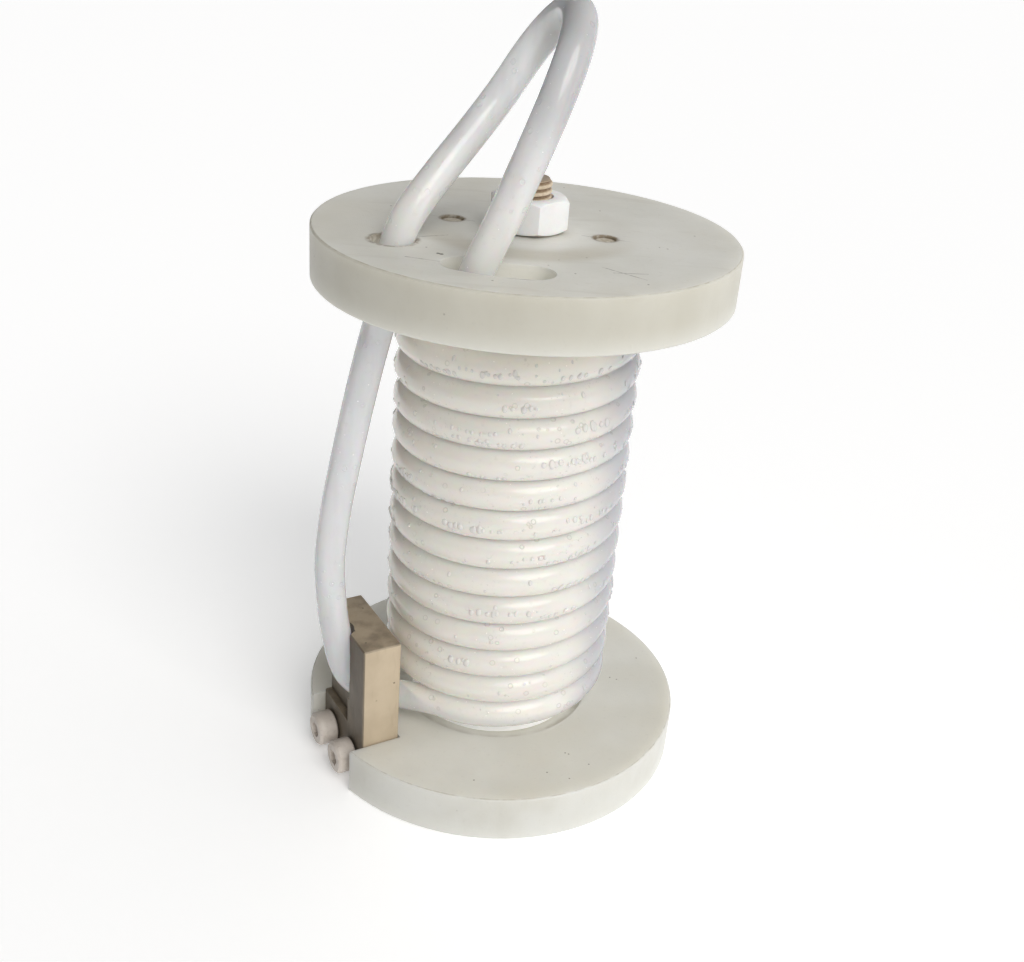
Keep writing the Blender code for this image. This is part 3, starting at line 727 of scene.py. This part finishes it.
def white_nylon():
    """White moulded nylon with faint handling smudges."""
    made = Finish("white_nylon", roughness=0.45, subsurface_weight=0.25, subsurface_scale=0.001)
    cloud = made.noise(0.0035, 4.0)
    fine = made.noise(0.0006, 3.0)
    colour = made.mix(cloud.rise(0.40, 0.75), (0.93, 0.93, 0.93), (0.88, 0.88, 0.87))
    colour = made.mix(fine.rise(0.66, 0.80) * 0.25, colour, (0.60, 0.58, 0.54))
    foot = made.z.fall(NUT_LOW.z, NUT_LOW.z + 0.0006)
    colour = made.mix(foot * cloud * 0.5, colour, (0.50, 0.46, 0.39))
    made.feed(base_color=colour, roughness=0.40 + cloud * 0.15)
    made.height(fine * 0.5 + cloud, 0.00006)
    return made


def white_plastic():
    """Plain white plastic of the core and the joiner, with a painted glow near the bottom flange."""
    made = Finish("white_plastic", roughness=0.4, emission_strength=0.22)
    cloud = made.noise(0.006, 3.0)
    fine = made.noise(0.0009, 3.0)
    colour = made.mix(cloud.rise(0.35, 0.75), (0.90, 0.90, 0.89), (0.82, 0.82, 0.80))
    colour = made.mix(fine.rise(0.64, 0.80) * 0.2, colour, (0.55, 0.53, 0.50))
    # painted glow: emission at the core's foot, under the lowest turn
    foot = made.z.fall(LOW_FACE + 0.0030, LOW_FACE + 0.0060)
    made.feed(base_color=colour, roughness=0.34 + fine * 0.14,
              emission_color=made.mix(foot, BLACK, (1.0, 1.0, 0.98)))
    made.height(fine * 0.5 + cloud, 0.00006)
    return made


def grey_plastic():
    """Grey-beige moulded screws, dark in the socket."""
    made = Finish("grey_plastic", roughness=0.5)
    fine = made.noise(0.0007, 4.0)
    cloud = made.noise(0.0030, 3.0)
    colour = made.mix(cloud.rise(0.35, 0.70), (0.66, 0.60, 0.54), (0.56, 0.50, 0.44))
    colour = made.mix(fine.rise(0.55, 0.80) * 0.4, colour, (0.30, 0.25, 0.21))
    made.feed(base_color=colour, roughness=0.45 + fine * 0.15)
    made.height(fine + cloud, 0.00007)
    return made


# Pieces

def fine_tube():
    """One smooth tube along the whole route; the wound turns bulge until they touch."""
    route = tube_route()
    bm = bmesh.new()
    rings = []
    side = Vector((0, 0, 1))
    for index, point in enumerate(route):
        before = route[max(index - 1, 0)]
        after = route[min(index + 1, len(route) - 1)]
        ahead = (after - before).normalized()
        side = (side - ahead * side.dot(ahead)).normalized()
        other = ahead.cross(side)
        axis_distance = math.hypot(point.x, point.y)
        wound = axis_distance < COIL_RADIUS + 0.00005 and point.z < HIGH_FACE
        ring = []
        for step in range(TUBE_SIDES):
            angle = math.tau * step / TUBE_SIDES
            offset = (side * math.cos(angle) + other * math.sin(angle)) * (TUBE_RADIUS - SKIN_SPARE)
            if wound:
                offset.z *= COIL_PITCH / TUBE_DIAMETER * 1.02
            ring.append(bm.verts.new(point + offset))
        rings.append(ring)
    rings_joined(bm, rings)
    tube = piece_from(bm, "silicone_tube", 60.0)
    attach(tube, "spool")
    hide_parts("coil_tube", "loop_tube")
    return tube


def placed(across, along, up, centre):
    """A matrix that turns and scales to three directions, at a centre."""
    matrix = Matrix((across, along, up)).transposed().to_4x4()
    matrix.translation = centre
    return matrix


def water_drops():
    """Drops on the wound tube, in short rows and alone, most of them on the upper turns."""
    draw = random.Random(11)
    bm = bmesh.new()

    def add(turned_by, around, size, long):
        """A low closed dome, sunk a little in the tube."""
        centre = coil_point(turned_by)
        angle = math.radians(COIL_ANGLE + turned_by)
        outward = Vector((math.cos(angle), math.sin(angle), 0))
        tangent = Vector((-math.sin(angle), math.cos(angle), 0))
        out = outward * math.cos(around) + Vector((0, 0, 1)) * math.sin(around)
        up = out.cross(tangent)
        dome = placed(up * size * long, out.cross(up) * size, out * size * DROP_FLATNESS,
                      centre + out * (TUBE_RADIUS - size * DROP_SINK))
        bmesh.ops.create_icosphere(bm, subdivisions=2, radius=1.0, matrix=dome)

    for _ in range(DROP_ROWS):
        start = COIL_SWEEP * draw.random() ** 0.62
        around = draw.uniform(-0.95, 0.35)
        size = draw.uniform(0.00028, 0.00060)
        for step in range(draw.randint(3, 8)):
            turned_by = start + step * draw.uniform(2.6, 4.2)
            if turned_by < COIL_SWEEP - BARE_SWEEP:
                add(turned_by, around + draw.uniform(-0.06, 0.06), size * draw.uniform(0.75, 1.2),
                    draw.uniform(1.0, 1.7))
    for _ in range(LONE_DROPS):
        add((COIL_SWEEP - BARE_SWEEP) * draw.random() ** 0.75, draw.uniform(-1.0, 0.8),
            draw.uniform(0.00016, 0.00042), draw.uniform(1.0, 1.8))
    drops = piece_from(bm, "water_drops", 80.0)
    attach(drops, "spool")
    return drops


def threaded_stud():
    """The stud with a fine thread on the end that shows."""
    low, high = STUD_LOW.z, STUD_HIGH.z
    start = NUT_HIGH.z - THREAD_PITCH
    rows = round((high - start) / (THREAD_PITCH / THREAD_ROWS))
    heights = [low, low + 0.0004, start]
    heights += [start + (high - 0.0003 - start) * row / rows for row in range(1, rows + 1)]
    bm = bmesh.new()

    def ring(height, radius_at):
        turns = [step / THREAD_SIDES for step in range(THREAD_SIDES)]
        return [bm.verts.new(upright(360 * turn, radius_at(turn), height)) for turn in turns]

    def threaded(height):
        def radius_at(turn):
            phase = (height / THREAD_PITCH - turn) % 1.0
            groove = max(0.0, min(1.0, (abs(phase - 0.5) * 2 - 0.30) / 0.6))
            groove = groove * groove * (3 - 2 * groove)
            radius = STUD_RADIUS - 0.0001
            if height > start:
                radius -= THREAD_DEPTH * 0.85 * groove
            if height == low:
                radius -= 0.0004
            return radius
        return radius_at

    rings = [ring(height, threaded(height)) for height in heights]
    rings.append(ring(high - 0.00008, lambda turn: STUD_RADIUS - 0.0007))
    rings.append(ring(high, lambda turn: STUD_RADIUS - 0.0011))
    rings_joined(bm, rings)
    stud = piece_from(bm, "threaded_stud", 50.0)
    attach(stud, "spool")
    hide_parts("centre_stud")
    return stud


# Floor, light and camera

def floor():
    """A plain pale floor under and behind the object."""
    bm = bmesh.new()
    bmesh.ops.create_grid(bm, x_segments=8, y_segments=8, size=6.0)
    mesh = bpy.data.meshes.new("floor")
    bm.to_mesh(mesh)
    bm.free()
    plane = bpy.data.objects.new("floor", mesh)
    plane.location.z = CAD_BOX[0].z - 0.0001
    bpy.context.scene.collection.objects.link(plane)
    made = Finish("floor_white", roughness=0.9, specular_ior_level=0.1, emission_strength=0.27,
                  emission_color=(1.0, 1.0, 1.0, 1.0))
    colour = made.mix(made.noise(0.5), (0.965, 0.965, 0.965), (0.955, 0.957, 0.96))
    made.feed(base_color=colour)
    made.put_on(plane)


def daylight():
    """Even studio light that is weaker on the left."""
    world = bpy.data.worlds.new("studio")
    bpy.context.scene.world = world
    world.use_nodes = True
    sky = Tree(world.node_tree)
    across = sky.parts(sky.node("ShaderNodeTexCoord"))[0]
    strength = sky.node("ShaderNodeMapRange", {"interpolation_type": "SMOOTHSTEP"}, {
        0: across, 1: -SKY_BLEND, 2: SKY_BLEND, 3: LEFT_SKY, 4: RIGHT_SKY})
    background = world.node_tree.nodes["Background"]
    sky.join(strength, background.inputs["Strength"])
    background.inputs["Color"].default_value = (0.985, 0.99, 1.0, 1.0)


def key_light():
    """A broad soft light from the front right, above."""
    lamp = bpy.data.lights.new("key", "SUN")
    lamp.energy = KEY_STRENGTH
    lamp.angle = math.radians(KEY_SPREAD)
    lamp.color = (1.0, 0.985, 0.96)
    key = bpy.data.objects.new("key", lamp)
    key.rotation_euler = KEY_FROM.to_track_quat("Z", "Y").to_euler()
    bpy.context.scene.collection.objects.link(key)


def camera():
    """Looks down at the object from the front, rolled a little."""
    roll = math.radians(CAMERA_ROLL)
    ahead = (CAMERA_TARGET - CAMERA_PLACE).normalized()
    right = ahead.cross(Vector((0, 0, 1))).normalized()
    up = right.cross(ahead)
    turned_right = right * math.cos(roll) + up * math.sin(roll)
    turned_up = up * math.cos(roll) - right * math.sin(roll)
    lens = bpy.data.cameras.new("camera")
    lens.sensor_width = 36.0
    lens.lens = CAMERA_LENS
    lens.clip_start = 0.005
    seen = bpy.data.objects.new("camera", lens)
    seen.matrix_world = placed(turned_right, turned_up, -ahead, CAMERA_PLACE)
    bpy.context.scene.collection.objects.link(seen)
    bpy.context.scene.camera = seen


def dress():
    """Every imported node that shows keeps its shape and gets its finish."""
    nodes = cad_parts
    for name in ("top_flange", "bottom_flange", "winding_core", "tube_joiner", "top_pin_right",
                 "top_pin_left", "bottom_pin_right", "bottom_pin_left"):
        smooth_cad(name)
    for name in ("top_nut", "bottom_nut"):
        smooth_cad(name, 0.0005)
    smooth_cad("tube_block", 0.00012)
    for name in ("block_screw_front", "block_screw_back"):
        smooth_cad(name, 0.0003)
    top = milky_plastic("milky_plastic_top", HIGH_FACE, TOP_FACE, top_marks, top_glow_walls,
                        TOP_RIM_SHADE)
    top.put_on(nodes["top_flange"])
    base = milky_plastic("milky_plastic_base", 0.0, LOW_FACE, base_marks, base_glow_walls,
                         BASE_RIM_SHADE)
    base.put_on(nodes["bottom_flange"])
    white_nylon().put_on(nodes["top_nut"], nodes["bottom_nut"])
    tan_plastic().put_on(nodes["tube_block"])
    pin_plastic().put_on(*[nodes[name] for name in nodes if "_pin_" in name])
    white_plastic().put_on(nodes["winding_core"], nodes["tube_joiner"])
    grey_plastic().put_on(nodes["block_screw_front"], nodes["block_screw_back"])


bpy.context.scene.view_settings.view_transform = "Standard"
camera()
floor()
daylight()
key_light()
dress()
clear_silicone().put_on(fine_tube())
water().put_on(water_drops())
stud_plastic().put_on(threaded_stud())
